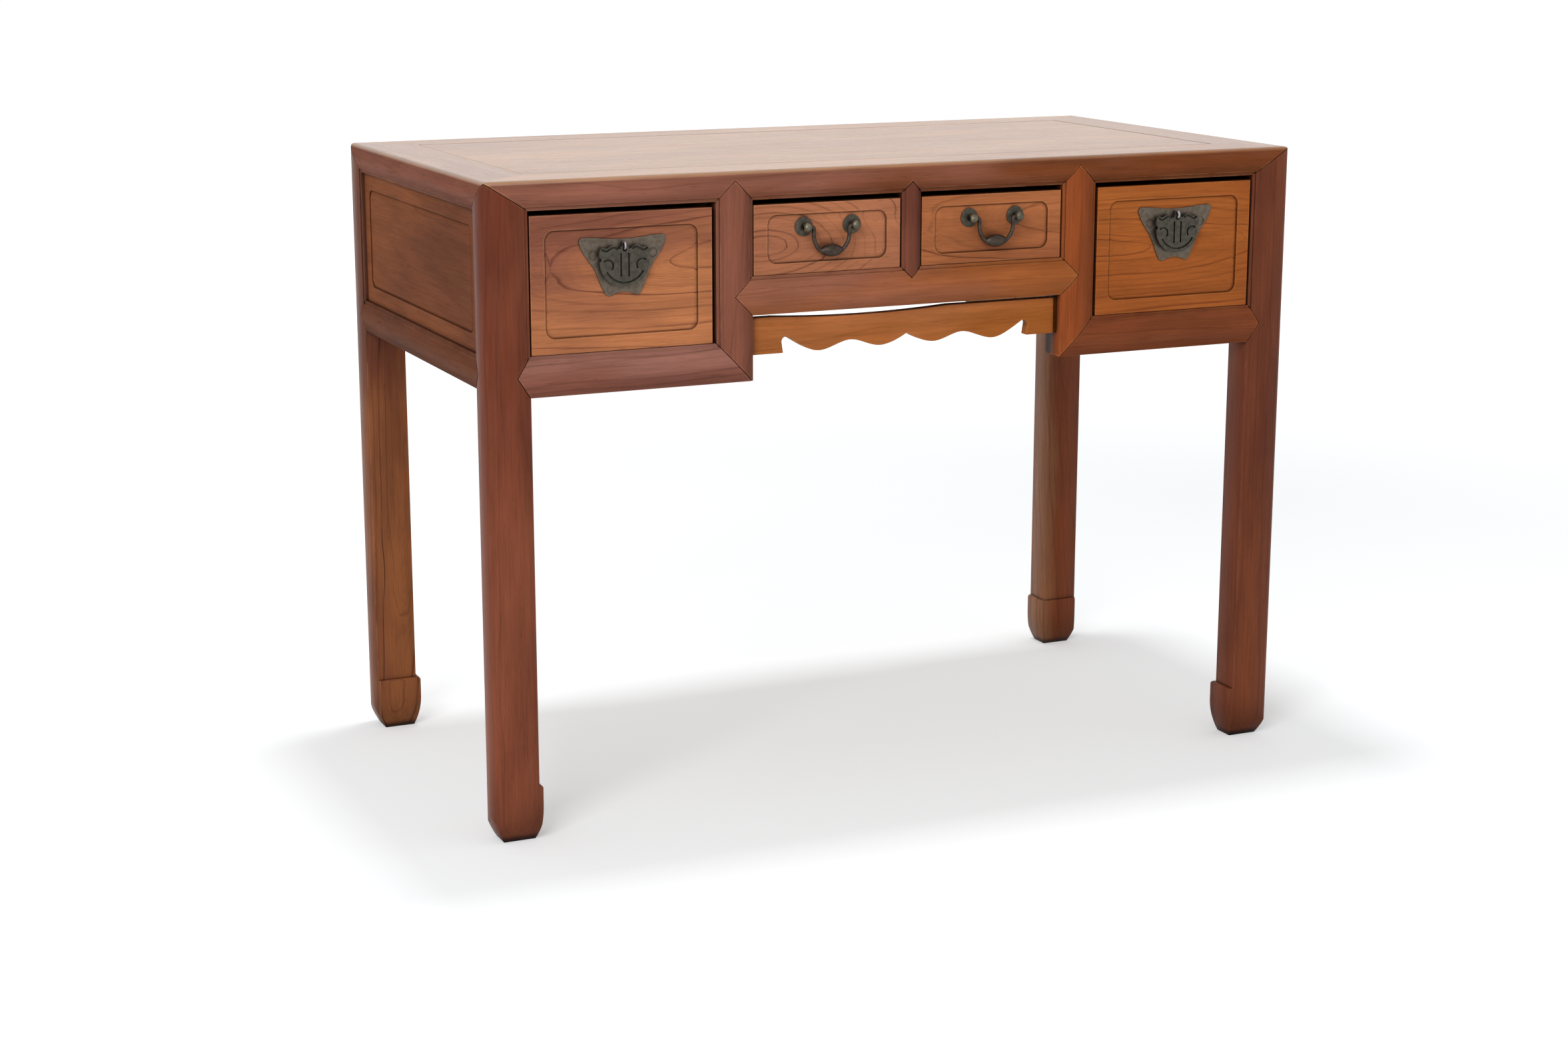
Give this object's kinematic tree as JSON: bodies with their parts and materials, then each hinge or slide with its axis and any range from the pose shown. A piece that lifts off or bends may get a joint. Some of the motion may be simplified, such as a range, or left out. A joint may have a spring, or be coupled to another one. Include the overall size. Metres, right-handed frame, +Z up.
{
  "type": "writing desk",
  "caption": "Wooden kneehole writing desk on hoof feet, with sliding drawers, hanging bat-shaped and bail pulls, panelled ends and a scalloped apron.",
  "frame": {"origin": "on the floor, under the middle of the desk's box with its pulls", "axes": "+X to the right of a person facing the drawers, +Y to the back, +Z up"},
  "size_m": [1.146, 0.599, 0.83],
  "materials": {
    "frame_wood": "waxed reddish brown",
    "top_wood": "worn satin, reddish brown",
    "drawer_front_wood": "waxed orange brown",
    "apron_wood": "waxed golden brown",
    "panel_wood": "waxed brown",
    "inner_wood": "raw, unfinished",
    "bronze": "dark grey-green patina",
    "steel": "bright worn wire"
  },
  "bodies": {
    "desk_frame": {"top_front_rail": "top_wood", "top_back_rail": "top_wood", "top_left_rail": "top_wood", "top_right_rail": "top_wood", "top_panel": "top_wood", "top_battens": "inner_wood", "front_left_leg": "frame_wood", "front_right_leg": "frame_wood", "back_left_leg": "frame_wood", "back_right_leg": "frame_wood", "front_left_stile": "frame_wood", "front_left_rail": "frame_wood", "front_right_stile": "frame_wood", "front_right_rail": "frame_wood", "front_middle_rail": "frame_wood", "front_centre_stile": "frame_wood", "apron": "apron_wood", "back_left_stile": "frame_wood", "back_left_rail": "frame_wood", "back_right_stile": "frame_wood", "back_right_rail": "frame_wood", "back_middle_rail": "frame_wood", "back_panels": "inner_wood", "left_end_rail": "frame_wood", "left_end_panel": "panel_wood", "right_end_rail": "frame_wood", "right_end_panel": "panel_wood", "left_partition": "inner_wood", "right_partition": "inner_wood", "deep_drawer_runners": "inner_wood", "shallow_drawer_runners": "inner_wood"},
    "left_drawer": {"left_drawer_front": "drawer_front_wood", "left_drawer_sides": "inner_wood", "left_drawer_back": "inner_wood", "left_drawer_bottom": "inner_wood", "left_pull_plate": "bronze", "left_pull_staple": "steel"},
    "right_drawer": {"right_drawer_front": "drawer_front_wood", "right_drawer_sides": "inner_wood", "right_drawer_back": "inner_wood", "right_drawer_bottom": "inner_wood", "right_pull_plate": "bronze", "right_pull_staple": "steel"},
    "centre_left_drawer": {"centre_left_drawer_front": "drawer_front_wood", "centre_left_drawer_sides": "inner_wood", "centre_left_drawer_back": "inner_wood", "centre_left_drawer_bottom": "inner_wood", "centre_left_rosettes": "bronze", "centre_left_posts": "bronze"},
    "centre_right_drawer": {"centre_right_drawer_front": "drawer_front_wood", "centre_right_drawer_sides": "inner_wood", "centre_right_drawer_back": "inner_wood", "centre_right_drawer_bottom": "inner_wood", "centre_right_rosettes": "bronze", "centre_right_posts": "bronze"},
    "left_pendant": {"left_pull_pendant": "bronze"},
    "right_pendant": {"right_pull_pendant": "bronze"},
    "centre_left_bail": {"centre_left_bail": "bronze"},
    "centre_right_bail": {"centre_right_bail": "bronze"}
  },
  "joints": [
    {"name": "left_drawer_slide", "type": "slide", "parent": "desk_frame", "child": "left_drawer", "axis": [0, -1, 0], "range_m": [0, 0.4]},
    {"name": "right_drawer_slide", "type": "slide", "parent": "desk_frame", "child": "right_drawer", "axis": [0, -1, 0], "range_m": [0, 0.4]},
    {"name": "centre_left_drawer_slide", "type": "slide", "parent": "desk_frame", "child": "centre_left_drawer", "axis": [0, -1, 0], "range_m": [0, 0.4]},
    {"name": "centre_right_drawer_slide", "type": "slide", "parent": "desk_frame", "child": "centre_right_drawer", "axis": [0, -1, 0], "range_m": [0, 0.4]},
    {"name": "left_pendant_swing", "type": "hinge", "parent": "left_drawer", "child": "left_pendant", "pos_m": [-0.39375, -0.287, 0.747], "axis": [-1, 0, 0], "range_deg": [0, 110]},
    {"name": "right_pendant_swing", "type": "hinge", "parent": "right_drawer", "child": "right_pendant", "pos_m": [0.39375, -0.287, 0.747], "axis": [-1, 0, 0], "range_deg": [0, 110]},
    {"name": "centre_left_bail_swing", "type": "hinge", "parent": "centre_left_drawer", "child": "centre_left_bail", "pos_m": [-0.11725, -0.2915, 0.757], "axis": [-1, 0, 0], "range_deg": [0, 130]},
    {"name": "centre_right_bail_swing", "type": "hinge", "parent": "centre_right_drawer", "child": "centre_right_bail", "pos_m": [0.11725, -0.2915, 0.757], "axis": [-1, 0, 0], "range_deg": [0, 130]}
  ]
}
